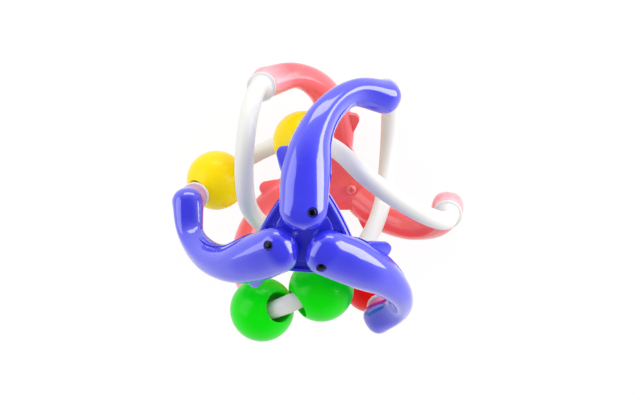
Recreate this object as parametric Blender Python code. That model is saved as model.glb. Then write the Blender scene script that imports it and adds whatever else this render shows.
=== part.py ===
# Activity ball: two trefoils of three dolphins, joined by three bent tubes that carry loose beads.
# Metres, +Z up along the ball's main axis, blue trefoil on top, origin at the middle of the ball.
from math import asin, ceil, cos, pi, radians, sin, sqrt

import bmesh
import bpy
from mathutils import Matrix, Quaternion, Vector

MM = 0.001

# Driving dimensions, in millimetres and degrees
ARMS = 3
GAP = 0.3                      # clearance between pieces that touch
WALL = 2.0                     # wall of the hollow shells

# Dolphin: middle line from snout to tail, as radius from the main axis, turn from the head's own
# azimuth, and height above the middle of the ball
SPINE = ((3.8, 0.0, 62.8), (14.0, 0.5, 58.4), (25.2, 1.2, 52.6), (39.2, -1.0, 44.1),
         (51.0, -7.0, 33.4), (58.8, -15.8, 21.5), (61.3, -28.4, 11.5))
SNOUT_RADIUS = 10.2            # the head's end is round in plan
TAIL_RADIUS = 7.3
# Dolphin section along the middle line: fraction, half width, height outwards, depth inwards
GIRTH = ((0.00, 10.2, 7.9, 6.6), (0.12, 10.3, 8.0, 6.8), (0.24, 10.5, 8.8, 7.2), (0.34, 9.7, 9.2, 7.2),
         (0.46, 7.9, 8.6, 6.8), (0.58, 6.4, 7.6, 6.2), (0.70, 5.3, 6.7, 5.7), (0.80, 4.9, 6.4, 5.7),
         (0.90, 5.8, 7.0, 6.5), (1.00, 7.3, 7.6, 7.3))
FLANK_SQUARENESS = 3.2         # superellipse power of the curl's inner flank, 2 is round
BELLY_SQUARENESS = 2.3
SEAM_STEP = 0.5                # the inner shell's edge stands out this far past the outer shell
SEAM_DROP = 0.6                # the seam lies this far inside the widest line

# Hub between the three heads
HUB_SPLIT_Z = 51.25            # the two shells of a trefoil part here
HUB_PLATE = 2.0
HUB_RIM_Z = 55.5
HUB_RIM_WIDTH = 1.5
HUB_INRADIUS = 17.0            # main axis to the middle of a web edge
HUB_CORNER_RADIUS = 29.0
HUB_PAD_RADIUS = 12.8
HUB_PAD_HEIGHT = 1.2

# Fin on the outer side of the curl
FIN_START, FIN_END = 23.0, 36.0   # along the middle line
FIN_REACH = 4.2
FIN_THICKNESS = 2.2

# Eye
EYE_RADIUS_FROM_AXIS = 13.5
EYE_TURN = -20.5
EYE_PUPIL_RADIUS = 1.45
EYE_SOCKET_RADIUS = 2.35
EYE_SOCKET_DEPTH = 0.45
EYE_STALK_RADIUS = 0.95
EYE_STALK_LENGTH = 3.6
EYE_PUPIL_DEPTH = 0.6          # below the socket's floor
EYE_PUPIL_EDGE, EYE_PUPIL_DOME = -0.35, 0.1

# Screws that hold a trefoil's two shells together
SCREW_RADIUS_FROM_AXIS = 12.8
SCREW_TURN = -4.0
SCREW_SHANK = 1.15
SCREW_HEAD = 2.6
SCREW_HEAD_HEIGHT = 1.6
SCREW_SLOT_REACH, SCREW_SLOT_HALF, SCREW_SLOT_DEPTH = 1.5, 0.35, 1.0
SCREW_POINT, SCREW_POINT_LENGTH = 0.3, 1.2
SCREW_TIP_Z = 58.4
BOSS_RADIUS = 3.0
BOSS_TOP_Z = 65.4

# Tube: half of its middle line is three arcs, from a two-fold axis to the coral tail
TUBE_RADIUS = 4.2
TUBE_OFFSET = 29.3             # main axis to the tube's middle
TUBE_TILT = 54.7               # the middle arc's plane, above the equator
MID_RADIUS, MID_ANGLE = 101.0, 17.3
BEND_RADIUS, BEND_ANGLE, BEND_ROLL = 29.0, 146.5, 64.5
END_RADIUS, END_ANGLE, END_ROLL = 25.0, 5.4, 150.0
FLARE_LENGTH = 9.0
FLARE_RINGS = (1.0, 0.55, 0.25)   # shares of the flare's length where a ring is set
FLARE_RADIUS = 6.1
FLANGE_RADIUS = 6.9
FLANGE_HALF = 0.9
SPIGOT_RADIUS = 3.3
SPIGOT_LENGTH = 12.4           # from the flange's middle
CATCH_RADIUS = 3.8             # lip at the spigot's end, held inside the tail
CATCH_LENGTH = 1.5

# Ring between a tube's flange and a tail
COLLAR_RADIUS = 6.3
COLLAR_BORE = 3.8
SOCKET_DEPTH = 9.5             # how far the collar and the tail's hole reach from the flange's middle

# Beads
BEAD_RADIUS = 15.0
BEAD_BORE = 6.8
BEAD_RIM = 0.7                 # rounding of the bore's mouth
# Colour, number, tube, place along the tube's middle line (coral end positive), the arc it rides
# on, and how far the loose bead hangs towards that arc's centre and along that arc's axis
BEADS = (("yellow", 1, 0, -83.3, "bend", 1.6, -0.9), ("yellow", 2, 0, -17.8, "mid", 1.9, 0.3),
         ("green", 1, 1, 76.0, "bend", 1.8, -0.6), ("green", 2, 1, 41.5, "bend", 1.4, 1.4),
         ("red", 1, 2, -82.0, "bend", 1.5, -1.0), ("red", 2, 2, -46.5, "bend", 1.5, 0.0))

# Mesh fineness
MERGE = 0.01
APART = 0.06                   # keeps flat faces of two solids that are joined out of one plane
BEYOND = 85.0                  # past the whole ball
RING_STEP = 10.0
HOLLOW_STEP = 14.0
SNOUT_RINGS = 3
SECTION_POINTS = 8
HOLLOW_POINTS = 5
TUBE_SIDES = 10
TUBE_STEP = 6.0
BEAD_SIDES = 18
BEAD_ARCS = 9
ROUND_SIDES = 16
SMALL_SIDES = 10

COLOURS = {
    "blue": (0.040, 0.045, 0.85, 1.0),
    "coral": (1.0, 0.120, 0.150, 1.0),
    "white": (0.86, 0.86, 0.85, 1.0),
    "mauve": (0.62, 0.25, 0.60, 1.0),
    "pink": (0.90, 0.35, 0.42, 1.0),
    "yellow": (1.0, 0.78, 0.0, 1.0),
    "green": (0.0, 0.74, 0.0, 1.0),
    "red": (0.95, 0.0, 0.0, 1.0),
    "black": (0.01, 0.01, 0.012, 1.0),
    "steel": (0.62, 0.62, 0.64, 1.0),
}


# Scene and materials

def clear_scene():
    for obj in list(bpy.data.objects):
        bpy.data.objects.remove(obj)


def material(name, roughness=0.25, metallic=0.0):
    mat = bpy.data.materials.get(name) or bpy.data.materials.new(name)
    mat.use_nodes = True
    shader = mat.node_tree.nodes["Principled BSDF"]
    shader.inputs["Base Color"].default_value = COLOURS[name]
    shader.inputs["Roughness"].default_value = roughness
    shader.inputs["Metallic"].default_value = metallic
    mat.diffuse_color = COLOURS[name]
    return mat


def object_from(bm, name, colour=None, **surface):
    """Make an object from a closed bmesh, with its faces turned outwards."""
    bmesh.ops.recalc_face_normals(bm, faces=bm.faces)
    mesh = bpy.data.meshes.new(name)
    bm.to_mesh(mesh)
    bm.free()
    obj = bpy.data.objects.new(name, mesh)
    bpy.context.collection.objects.link(obj)
    if colour:
        mesh.materials.append(material(colour, **surface))
    return obj


def tidy_triangles(mesh):
    """Merge coinciding corners, take out slivers and flat joints, and leave triangles."""
    bm = bmesh.new()
    bm.from_mesh(mesh)
    bmesh.ops.remove_doubles(bm, verts=bm.verts, dist=MERGE * MM)
    bmesh.ops.dissolve_degenerate(bm, dist=MERGE * MM, edges=bm.edges)
    bmesh.ops.dissolve_limit(bm, angle_limit=radians(0.2), verts=bm.verts, edges=bm.edges)
    bmesh.ops.triangulate(bm, faces=bm.faces)
    bmesh.ops.dissolve_degenerate(bm, dist=MERGE * MM, edges=bm.edges)
    bm.to_mesh(mesh)
    bm.free()


def join_solids(target, others, operation):
    """Apply one exact Boolean of the other objects, none of which overlap, and drop them."""
    group = bpy.data.collections.new("operands")
    for other in others:
        tidy_triangles(other.data)
        bpy.context.collection.objects.unlink(other)
        group.objects.link(other)
    tidy_triangles(target.data)
    modifier = target.modifiers.new("cut", "BOOLEAN")
    modifier.operation = operation
    modifier.solver = "EXACT"
    modifier.operand_type = "COLLECTION"
    modifier.collection = group
    bpy.context.view_layer.update()
    shaped = target.evaluated_get(bpy.context.evaluated_depsgraph_get())
    mesh = bpy.data.meshes.new_from_object(shaped)
    target.modifiers.clear()
    target.data = mesh
    tidy_triangles(mesh)
    for other in others:
        bpy.data.objects.remove(other)
    bpy.data.collections.remove(group)
    return target


def finish(obj, angle=32):
    obj.data.shade_smooth()
    obj.data.set_sharp_from_angle(angle=radians(angle))
    return obj


# Small geometry helpers

def polar(radius, degrees, height):
    return Vector((radius * cos(radians(degrees)), radius * sin(radians(degrees)), height))


def curve_through(knots, x):
    """Smooth value at x of a table whose rows start with their own x."""
    last = len(knots) - 1
    i = min(max(sum(1 for row in knots[1:-1] if row[0] <= x), 0), last - 1)
    x0, x1 = knots[i][0], knots[i + 1][0]
    u = (x - x0) / (x1 - x0)

    def slope(j):
        a, b = max(j - 1, 0), min(j + 1, last)
        return [(q - p) / (knots[b][0] - knots[a][0]) for p, q in zip(knots[a][1:], knots[b][1:])]

    h00, h10 = 2 * u**3 - 3 * u**2 + 1, u**3 - 2 * u**2 + u
    h01, h11 = -2 * u**3 + 3 * u**2, u**3 - u**2
    rows = zip(knots[i][1:], slope(i), knots[i + 1][1:], slope(i + 1))
    return [h00 * p + h10 * (x1 - x0) * m + h01 * q + h11 * (x1 - x0) * n for p, m, q, n in rows]


def loft(rings):
    """Closed solid through rings of equal length; a ring of one point is a pole."""
    bm = bmesh.new()
    rows = [[bm.verts.new(p * MM) for p in ring] for ring in rings]
    for row, after in zip(rows, rows[1:]):
        count = max(len(row), len(after))
        for j in range(count):
            k = (j + 1) % count
            if len(row) == 1:
                corners = (row[0], after[j], after[k])
            elif len(after) == 1:
                corners = (row[j], after[0], row[k])
            else:
                corners = (row[j], after[j], after[k], row[k])
            bm.faces.new(corners)
    for row in (rows[0], rows[-1]):
        if len(row) > 1:
            bm.faces.new(row)
    return bm


def prism(outline, low, high):
    """Upright prism over a flat outline of (x, y) points."""
    return loft([[Vector((x, y, z)) for x, y in outline] for z in (low, high)])


def turned(stations, sides, frame):
    """Round solid along a frame's own Z, from (height, radius) stations."""
    rings = []
    for height, radius in stations:
        turn = [2 * pi * (j + 0.3) / sides for j in range(sides)]
        ring = [frame @ Vector((radius * cos(t), radius * sin(t), height)) for t in turn]
        rings.append(ring if radius > 0 else [frame @ Vector((0, 0, height))])
    return loft(rings)


def facing(point, normal, up=Vector((0.0, 0.0, 1.0))):
    """Frame at a point whose Z looks along the normal."""
    z = normal.normalized()
    x = up.cross(z)
    x = x.normalized() if x.length > 1e-6 else Vector((1.0, 0.0, 0.0))
    y = z.cross(x)
    return Matrix(((x.x, y.x, z.x, point.x), (x.y, y.y, z.y, point.y),
                   (x.z, y.z, z.z, point.z), (0, 0, 0, 1)))


# Dolphin body

def spine_knots():
    """The middle line's points, each with its distance from the snout in front."""
    points = [polar(*row) for row in SPINE]
    knots, along = [], 0.0
    for i, point in enumerate(points):
        along += (point - points[i - 1]).length if i else 0.0
        knots.append((along, point.x, point.y, point.z))
    return knots


KNOTS = spine_knots()
SPINE_LENGTH = KNOTS[-1][0]


def spine_point(s):
    if s <= SPINE_LENGTH:
        return Vector(curve_through(KNOTS, s))
    end = Vector(curve_through(KNOTS, SPINE_LENGTH))
    before = Vector(curve_through(KNOTS, SPINE_LENGTH - 0.5))
    return end + (end - before).normalized() * (s - SPINE_LENGTH)


def spine_frame(s):
    """Point, direction, outward normal and the direction of the curl's inner flank."""
    point = spine_point(s)
    ahead = (spine_point(s + 0.5) - spine_point(max(s - 0.5, 0.0))).normalized()
    outward = (point - ahead * point.dot(ahead)).normalized()
    return point, ahead, outward, ahead.cross(outward)


def girth(s):
    """Half width, outward height, inward depth and flank squareness at s."""
    f = min(max(s / SPINE_LENGTH, 0.0), 1.0)
    width, high, deep = curve_through(GIRTH, f)
    flank = 2.2 + (FLANK_SQUARENESS - 2.2) * min(f / 0.35, 1.0)
    return width, high, deep, flank


def end_scale(s, inset=0.0):
    """Rounding of the snout and the tail, for a body whose surface is drawn in by the inset."""
    if s < SNOUT_RADIUS:
        return sqrt(max(1 - ((SNOUT_RADIUS - s) / (SNOUT_RADIUS - inset)) ** 2, 0.0))
    if s > SPINE_LENGTH:
        return sqrt(max(1 - ((s - SPINE_LENGTH) / (TAIL_RADIUS - inset)) ** 2, 0.0))
    return 1.0


def split_place():
    """Where along the middle line the seam comes down to the hub's own seam."""
    s = SNOUT_RADIUS
    while (spine_point(s) - spine_frame(s)[2] * SEAM_DROP).z > HUB_SPLIT_Z + GAP / 2:
        s += 0.05
    return s


SPLIT_PLACE = split_place()


def stations(inset=0.0, tip=0.12):
    """Places along the middle line where a ring is set, closer at the round ends."""
    nose, tail = SNOUT_RADIUS - inset, TAIL_RADIUS - inset
    rings = SNOUT_RINGS if inset <= 0 else SNOUT_RINGS - 1
    steps = ceil((SPINE_LENGTH - SNOUT_RADIUS) / (RING_STEP if inset <= 0 else HOLLOW_STEP))
    turns = [pi / 2 * i / rings for i in range(1, rings)]
    front = [SNOUT_RADIUS - nose * cos(t) for t in [tip] + turns]
    body = [SNOUT_RADIUS + (SPINE_LENGTH - SNOUT_RADIUS) * i / steps for i in range(steps + 1)]
    nearest = min(body, key=lambda s: abs(s - SPLIT_PLACE))
    body[body.index(nearest)] = SPLIT_PLACE
    back = [SPINE_LENGTH + tail * sin(t) for t in turns + [pi / 2 - tip]]
    return front + body + back


def half_ring(s, inset, outer, foot):
    """Half a cross-section: an arc from the curl's inner flank over to its belly, then its foot."""
    point, _, outward, flank = spine_frame(s)
    scale = end_scale(s, inset)
    width, high, deep, square = girth(s)
    half = (width - inset) * scale
    rise = ((high if outer else deep) - inset) * scale
    side = 1.0 if outer else -1.0
    count = SECTION_POINTS if inset <= 0 else HOLLOW_POINTS
    ring = []
    for j in range(count + 1):
        t = pi * j / count
        power = square if t < pi / 2 else BELLY_SQUARENESS
        across = abs(cos(t)) ** (2 / power) * (1 if t < pi / 2 else -1)
        up = rise * sin(t) ** (2 / power) if 0 < j < count else 0.0
        ring.append(point + flank * half * across + outward * side * max(up, -foot))
    if foot < 0:
        return ring
    for edge in (ring[-1], ring[0]):
        low = edge - outward * side * foot
        if outer and s <= SPLIT_PLACE:
            low = Vector((edge.x, edge.y, HUB_SPLIT_Z + GAP / 2 + SEAM_DROP - foot))
        ring.append(low)
    return ring


def half_body(outer, inset=0.0, foot=0.0):
    """Upper or lower half of a dolphin; its foot reaches this far past the widest line."""
    tip = 0.25 if foot < 0 else 0.12
    bm = loft([half_ring(s, inset, outer, foot) for s in stations(inset, tip)])
    bmesh.ops.triangulate(bm, faces=bm.faces)
    return bm


def spin_copies(bm, name):
    """Three copies of a solid about the main axis."""
    copies = []
    for k in range(ARMS):
        turned_bm = bm.copy()
        spin = Matrix.Rotation(radians(90 + 120 * k), 4, "Z")
        bmesh.ops.transform(turned_bm, matrix=spin, verts=turned_bm.verts)
        copies.append(object_from(turned_bm, f"{name}_{k}"))
    bm.free()
    return copies


def web_outline(grow=0.0, corner=HUB_CORNER_RADIUS, samples=8):
    """Triangle between the heads with bowed sides; its corners lie inside the dolphins."""
    outline = []
    for k in range(ARMS):
        start = polar(corner, 90 + 120 * k, 0)
        end = polar(corner, 90 + 120 * (k + 1), 0)
        middle = polar(HUB_INRADIUS + grow, 150 + 120 * k, 0)
        chord_middle = (start + end) / 2
        for i in range(samples):
            u = i / samples
            bow = 4 * u * (1 - u)
            point = start.lerp(end, u) + (middle - chord_middle) * bow
            outline.append((point.x, point.y))
    return outline


def post(radius, low, high, centre):
    """Upright cylinder over a point."""
    return turned(((low, radius), (high, radius)), SMALL_SIDES, Matrix.Translation(centre))


# The four shells

def eye_frame(k):
    """Frame on a head's surface, Z outwards."""
    spot = polar(EYE_RADIUS_FROM_AXIS, EYE_TURN, 0)
    s = next(0.1 * i for i in range(400) if spine_point(0.1 * i).x > spot.x - 0.1)
    point, ahead, outward, flank = spine_frame(s)
    scale = end_scale(s)
    width, high, _, square = girth(s)
    width, high = width * scale, high * scale
    across = (spot - Vector((point.x, point.y, 0))).dot(flank) / width
    rise = (1 - abs(across) ** square) ** (1 / square)
    surface = point + flank * across * width + outward * rise * high
    normal = flank * across ** (square - 1) / width + outward * rise ** (square - 1) / high
    spin = Matrix.Rotation(radians(90 + 120 * k), 4, "Z")
    return spin @ facing(surface, normal.normalized() - ahead * 0.1)


def outer_shell(prefix, colour, flip):
    low = HUB_SPLIT_Z + GAP / 2
    arms = spin_copies(half_body(True, foot=SEAM_DROP), "arm")
    shell = object_from(prism(web_outline(), low + APART, HUB_RIM_Z), "tray")
    pocket = object_from(prism(web_outline(-HUB_RIM_WIDTH, HUB_CORNER_RADIUS + 5), low + HUB_PLATE,
                               HUB_RIM_Z + 1), "pocket")
    shell = join_solids(shell, [pocket], "DIFFERENCE")
    pad = turned(((low + HUB_PLATE - 0.5, HUB_PAD_RADIUS), (low + HUB_PLATE, HUB_PAD_RADIUS),
                  (low + HUB_PLATE + HUB_PAD_HEIGHT, HUB_PAD_RADIUS - HUB_PAD_HEIGHT)),
                 ROUND_SIDES, Matrix())
    shell = join_solids(join_solids(shell, [object_from(pad, "pad")], "UNION"), arms, "UNION")
    hollows = spin_copies(half_body(True, inset=WALL, foot=SEAM_DROP + 1.5), "hollow")
    shell = join_solids(shell, hollows, "DIFFERENCE")
    spots = [polar(SCREW_RADIUS_FROM_AXIS, 90 + 120 * k + SCREW_TURN, 0) for k in range(ARMS)]
    bosses = [object_from(post(BOSS_RADIUS, low + 2 * APART, BOSS_TOP_Z, p), "boss") for p in spots]
    shell = join_solids(shell, bosses, "UNION")
    pilots = [object_from(post(SCREW_SHANK + GAP, low - 1, SCREW_TIP_Z + 1, p), "pilot")
              for p in spots]
    for cutters in (pilots, *eye_cutters(), socket_cutters()):
        shell = join_solids(shell, cutters, "DIFFERENCE")
    return place_shell(shell, f"{prefix}_outer_shell", colour, flip)


def inner_shell(prefix, colour, flip):
    top = HUB_SPLIT_Z - GAP / 2
    foot = -SEAM_DROP - GAP
    arms = spin_copies(half_body(False, inset=-SEAM_STEP, foot=foot), "arm")
    plate = object_from(prism(web_outline(SEAM_STEP), top - HUB_PLATE, top + 1), "plate")
    fins = spin_copies(fin_solid(), "fin")
    shell = join_solids(join_solids(plate, arms, "UNION"), fins, "UNION")
    lid = object_from(prism(((-BEYOND, -BEYOND), (BEYOND, -BEYOND), (BEYOND, BEYOND),
                             (-BEYOND, BEYOND)), top, BEYOND), "lid")
    shell = join_solids(shell, [lid], "DIFFERENCE")
    hollows = spin_copies(half_body(False, inset=WALL - SEAM_STEP, foot=1.0), "hollow")
    spots = [polar(SCREW_RADIUS_FROM_AXIS, 90 + 120 * k + SCREW_TURN, 0) for k in range(ARMS)]
    holes = [object_from(post(SCREW_SHANK + GAP, top - 5, top + 1, p), "hole") for p in spots]
    for cutters in (hollows, holes, socket_cutters()):
        shell = join_solids(shell, cutters, "DIFFERENCE")
    return place_shell(shell, f"{prefix}_inner_shell", colour, flip)


def fin_solid():
    """Small swept fin standing out of the seam on the outer side of the curl."""
    rings = []
    outline = [(FIN_START, -1.5), (FIN_START + 4.5, 1.3), (FIN_END - 4.2, FIN_REACH - 0.3),
               (FIN_END - 2.2, FIN_REACH), (FIN_END - 0.6, FIN_REACH - 1.0), (FIN_END, 0.5),
               (FIN_END, -1.5)]
    for depth in (SEAM_DROP + GAP, SEAM_DROP + GAP + FIN_THICKNESS):
        ring = []
        for s, reach in outline:
            point, _, outward, flank = spine_frame(s)
            ring.append(point - flank * (girth(s)[0] + SEAM_STEP + reach) - outward * depth)
        rings.append(ring)
    return loft(rings)


def eye_cutters():
    cones, bores = [], []
    for k in range(ARMS):
        cone = turned(((-EYE_SOCKET_DEPTH, EYE_PUPIL_RADIUS + GAP), (0.05, EYE_SOCKET_RADIUS),
                       (1.5, EYE_SOCKET_RADIUS)), SMALL_SIDES, eye_frame(k))
        seat = -EYE_SOCKET_DEPTH - EYE_PUPIL_DEPTH - GAP
        bore = turned(((-EYE_STALK_LENGTH - 0.4, EYE_STALK_RADIUS + GAP), (seat, EYE_STALK_RADIUS + GAP),
                       (seat, EYE_PUPIL_RADIUS + GAP), (0.0, EYE_PUPIL_RADIUS + GAP)),
                      SMALL_SIDES, eye_frame(k))
        cones.append(object_from(cone, "cone"))
        bores.append(object_from(bore, "bore"))
    return cones, bores


def socket_cutters():
    """Holes where the tubes' spigots enter the three tails of the upper trefoil."""
    return [object_from(turned(((0.0, SPIGOT_RADIUS + GAP), (SOCKET_DEPTH, SPIGOT_RADIUS + GAP)),
                               SMALL_SIDES, tube_turn(k) @ half_turn() @ tube_end_frame()), "socket")
            for k in range(ARMS)]


def half_turn():
    """The two-fold turn that carries the blue trefoil onto the coral one."""
    return Matrix.Rotation(pi, 4, "Y")


def place_shell(shell, name, colour, flip):
    shell.name = name
    shell.data.name = name
    if flip:
        shell.data.transform(half_turn())
    shell.data.materials.clear()
    shell.data.materials.append(material(colour))
    return finish(shell)


# Tubes

def arc_walk(point, heading, normal, radius, angle, step):
    """Points and headings along an arc that turns towards the normal."""
    centre = point + normal * radius
    axis = heading.cross(normal)
    count = max(ceil(radius * radians(angle) / step), 2)
    walk = []
    for i in range(count + 1):
        turn = Quaternion(axis, radians(angle) * i / count)
        walk.append((centre - (turn @ normal) * radius, turn @ heading, turn @ normal))
    return centre, axis, walk


def tube_arcs(step=TUBE_STEP):
    """The three arcs of half a tube in its own frame: coral end at +X, two-fold axis along Y."""
    heading = Vector((cos(radians(TUBE_TILT)), 0.0, sin(radians(TUBE_TILT))))
    point, normal = Vector((0.0, TUBE_OFFSET, 0.0)), Vector((0.0, -1.0, 0.0))
    arcs = []
    for radius, angle, roll in ((MID_RADIUS, MID_ANGLE, 0.0), (BEND_RADIUS, BEND_ANGLE, BEND_ROLL),
                                (END_RADIUS, END_ANGLE, END_ROLL)):
        normal = Quaternion(heading, radians(roll)) @ normal
        centre, axis, walk = arc_walk(point, heading, normal, radius, angle, step)
        arcs.append((centre, axis, walk))
        point, heading, normal = walk[-1]
    return arcs


def tube_end_frame():
    """Frame at the coral flange's middle, Z into the tail."""
    point, heading, _ = tube_arcs()[-1][2][-1]
    return facing(point, heading)


def tube_turn(k):
    return Matrix.Rotation(radians(-120 * k), 4, "Z")


def tube_line(step=TUBE_STEP):
    """Middle line of half a tube: distance, point and heading."""
    line, along = [], 0.0
    for _, _, walk in tube_arcs(step):
        for point, heading, _ in walk:
            if line and (point - line[-1][1]).length < 1e-6:
                continue
            along += (point - line[-1][1]).length if line else 0.0
            line.append((along, point, heading))
    return line


def carried_frames(places):
    """Frames along a line with as little twist as possible."""
    side = Vector((0.0, 1.0, 0.0))
    frames = []
    for point, heading, _ in places:
        side = (side - heading * side.dot(heading)).normalized()
        frames.append((point, side, heading.cross(side)))
    return frames


def tube_radius(to_flange):
    """Radius of the flared foot at a distance from the flange's near face."""
    return TUBE_RADIUS + (FLARE_RADIUS - TUBE_RADIUS) * (1 - to_flange / FLARE_LENGTH) ** 2


def tube_solid():
    """Tube with a flared foot, a flange and a spigot at each end."""
    half = tube_line()
    length = half[-1][0] - FLANGE_HALF
    places = [(point, heading, TUBE_RADIUS) for s, point, heading in half
              if s < length - FLARE_LENGTH - TUBE_STEP / 4]
    for share in FLARE_RINGS:
        point, heading = half_point(half, length - FLARE_LENGTH * share)
        places.append((point, heading, tube_radius(FLARE_LENGTH * share)))
    _, end, heading = half[-1]
    steps = ((-FLANGE_HALF, FLARE_RADIUS), (-FLANGE_HALF, FLANGE_RADIUS), (FLANGE_HALF, FLANGE_RADIUS),
             (FLANGE_HALF, SPIGOT_RADIUS), (SPIGOT_LENGTH - CATCH_LENGTH, SPIGOT_RADIUS),
             (SPIGOT_LENGTH - CATCH_LENGTH, CATCH_RADIUS), (SPIGOT_LENGTH, CATCH_RADIUS))
    places += [(end + heading * d, heading, radius) for d, radius in steps]
    flip = half_turn()
    back = [(flip @ point, -(flip @ heading), radius) for point, heading, radius in places[:0:-1]]
    whole = back + places
    turn = [2 * pi * j / TUBE_SIDES for j in range(TUBE_SIDES)]
    rings = []
    for (point, side, other), (_, _, radius) in zip(carried_frames(whole), whole):
        rings.append([point + (side * cos(t) + other * sin(t)) * radius for t in turn])
    return loft(rings)


def half_point(half, s):
    """Point and heading at a distance along half a tube."""
    for before, after in zip(half, half[1:]):
        if s <= after[0]:
            u = (s - before[0]) / (after[0] - before[0])
            return before[1].lerp(after[1], u), before[2].lerp(after[2], u).normalized()
    return half[-1][1], half[-1][2]


def tubes():
    for k, name in enumerate(("yellow_bead_tube", "green_bead_tube", "red_bead_tube")):
        bm = tube_solid()
        bmesh.ops.transform(bm, matrix=tube_turn(k), verts=bm.verts)
        finish(object_from(bm, name, "white", roughness=0.3))


# Collars

def collars():
    """One ring at each of the six tails, its far end hollowed to the tail's own shape."""
    for k in range(ARMS):
        frame = tube_turn(k) @ half_turn() @ tube_end_frame()
        spin = Matrix.Rotation(radians(210 - 120 * k), 4, "Z")
        for side, colour in (("blue", "mauve"), ("coral", "pink")):
            ring = object_from(turned(((FLANGE_HALF + GAP, COLLAR_RADIUS), (SOCKET_DEPTH, COLLAR_RADIUS)),
                                      ROUND_SIDES, frame), f"{side}_tail_collar_{k + 1}")
            bore = object_from(turned(((0.0, COLLAR_BORE), (SOCKET_DEPTH + 1, COLLAR_BORE)),
                                      ROUND_SIDES, frame), "bore")
            ring = join_solids(ring, [bore], "DIFFERENCE")
            for outer, spare, foot in ((True, GAP, 0.0), (False, GAP + SEAM_STEP, 0.5)):
                tail = object_from(half_body(outer, inset=-spare, foot=foot), "tail")
                tail.data.transform(spin)
                ring = join_solids(ring, [tail], "DIFFERENCE")
            if side == "coral":
                ring.data.transform(half_turn())
            ring.data.materials.append(material(colour))
            finish(ring)


# Eyes and screws

def eyes():
    for side in ("blue", "coral"):
        for k in range(ARMS):
            top = EYE_PUPIL_RADIUS
            base = -EYE_SOCKET_DEPTH - EYE_PUPIL_DEPTH
            profile = ((-EYE_STALK_LENGTH, 0.6), (-EYE_STALK_LENGTH, EYE_STALK_RADIUS),
                       (base, EYE_STALK_RADIUS), (base, top), (EYE_PUPIL_EDGE, top),
                       (-EYE_PUPIL_DOME / 2, top * 0.8), (EYE_PUPIL_DOME, top * 0.4))
            bm = turned(profile, SMALL_SIDES, eye_frame(k))
            if side == "coral":
                bmesh.ops.transform(bm, matrix=half_turn(), verts=bm.verts)
            finish(object_from(bm, f"{side}_eye_{k + 1}", "black", roughness=0.12))


def screws():
    """Three cross-slotted screws to a trefoil."""
    low = HUB_SPLIT_Z - GAP / 2 - HUB_PLATE - GAP
    for side in ("blue", "coral"):
        for k in range(ARMS):
            spot = Matrix.Translation(polar(SCREW_RADIUS_FROM_AXIS, 90 + 120 * k + SCREW_TURN, 0))
            profile = ((low - SCREW_HEAD_HEIGHT, SCREW_HEAD * 0.7),
                       (low - SCREW_HEAD_HEIGHT * 0.6, SCREW_HEAD), (low, SCREW_HEAD),
                       (low, SCREW_SHANK), (SCREW_TIP_Z - SCREW_POINT_LENGTH, SCREW_SHANK),
                       (SCREW_TIP_Z, SCREW_POINT))
            screw = object_from(turned(profile, SMALL_SIDES, spot), f"{side}_shell_screw_{k + 1}")
            for turn in (0, 90):
                blade = prism(((-SCREW_SLOT_REACH, -SCREW_SLOT_HALF), (SCREW_SLOT_REACH, -SCREW_SLOT_HALF),
                               (SCREW_SLOT_REACH, SCREW_SLOT_HALF), (-SCREW_SLOT_REACH, SCREW_SLOT_HALF)),
                              low - SCREW_HEAD_HEIGHT - 1, low - SCREW_HEAD_HEIGHT + SCREW_SLOT_DEPTH)
                place = Matrix.Translation(spot.translation * MM) @ Matrix.Rotation(radians(turn), 4, "Z")
                bmesh.ops.transform(blade, matrix=place, verts=blade.verts)
                join_solids(screw, [object_from(blade, "slot")], "DIFFERENCE")
            if side == "coral":
                screw.data.transform(half_turn())
            screw.data.materials.clear()
            screw.data.materials.append(material("steel", roughness=0.3, metallic=1.0))
            finish(screw)


# Beads

def bead_profile():
    """Closed outline of a bored bead, as (height, radius) pairs."""
    mouth_angle = asin((BEAD_BORE + BEAD_RIM) / BEAD_RADIUS)
    arc = [mouth_angle + (pi - 2 * mouth_angle) * i / BEAD_ARCS for i in range(BEAD_ARCS + 1)]
    outer = [(-BEAD_RADIUS * cos(t), BEAD_RADIUS * sin(t)) for t in arc]
    bore_end = BEAD_RADIUS * cos(mouth_angle) - BEAD_RIM * 0.9
    return outer + [(bore_end, BEAD_BORE), (-bore_end, BEAD_BORE)]


def bead_mesh(frame):
    profile = bead_profile()
    bm = bmesh.new()
    rows = []
    for height, radius in profile:
        turn = [2 * pi * j / BEAD_SIDES for j in range(BEAD_SIDES)]
        rows.append([bm.verts.new((frame @ Vector((radius * cos(t), radius * sin(t), height))) * MM)
                     for t in turn])
    for row, after in zip(rows, rows[1:] + rows[:1]):
        for j in range(BEAD_SIDES):
            k = (j + 1) % BEAD_SIDES
            bm.faces.new((row[j], row[k], after[k], after[j]))
    return bm


def ride(k, place, arc, hang, sway):
    """Centre and axis of the arc that a bead rides on, and the bead's own centre and bore direction."""
    index = {"mid": 0, "bend": 1}[arc]
    centre, axis, walk = tube_arcs()[index]
    before = 0.0 if index == 0 else MID_RADIUS * radians(MID_ANGLE)
    radius = MID_RADIUS if index == 0 else BEND_RADIUS
    turn = Quaternion(axis, (abs(place) - before) / radius)
    spot = centre - (turn @ walk[0][2]) * (radius - hang) + axis * sway
    world = tube_turn(k) @ (half_turn() if place < 0 else Matrix())
    lean = world.to_3x3()
    return world @ centre, lean @ axis, world @ spot, lean @ (turn @ walk[0][1])


def beads():
    for colour, number, k, place, arc, hang, sway in BEADS:
        centre, _, spot, heading = ride(k, place, arc, hang, sway)
        bm = bead_mesh(facing(spot, heading))
        bmesh.ops.translate(bm, vec=-centre * MM, verts=bm.verts)
        bead = finish(object_from(bm, f"{colour}_bead_{number}", colour, roughness=0.15))
        bead.location = centre * MM


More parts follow.
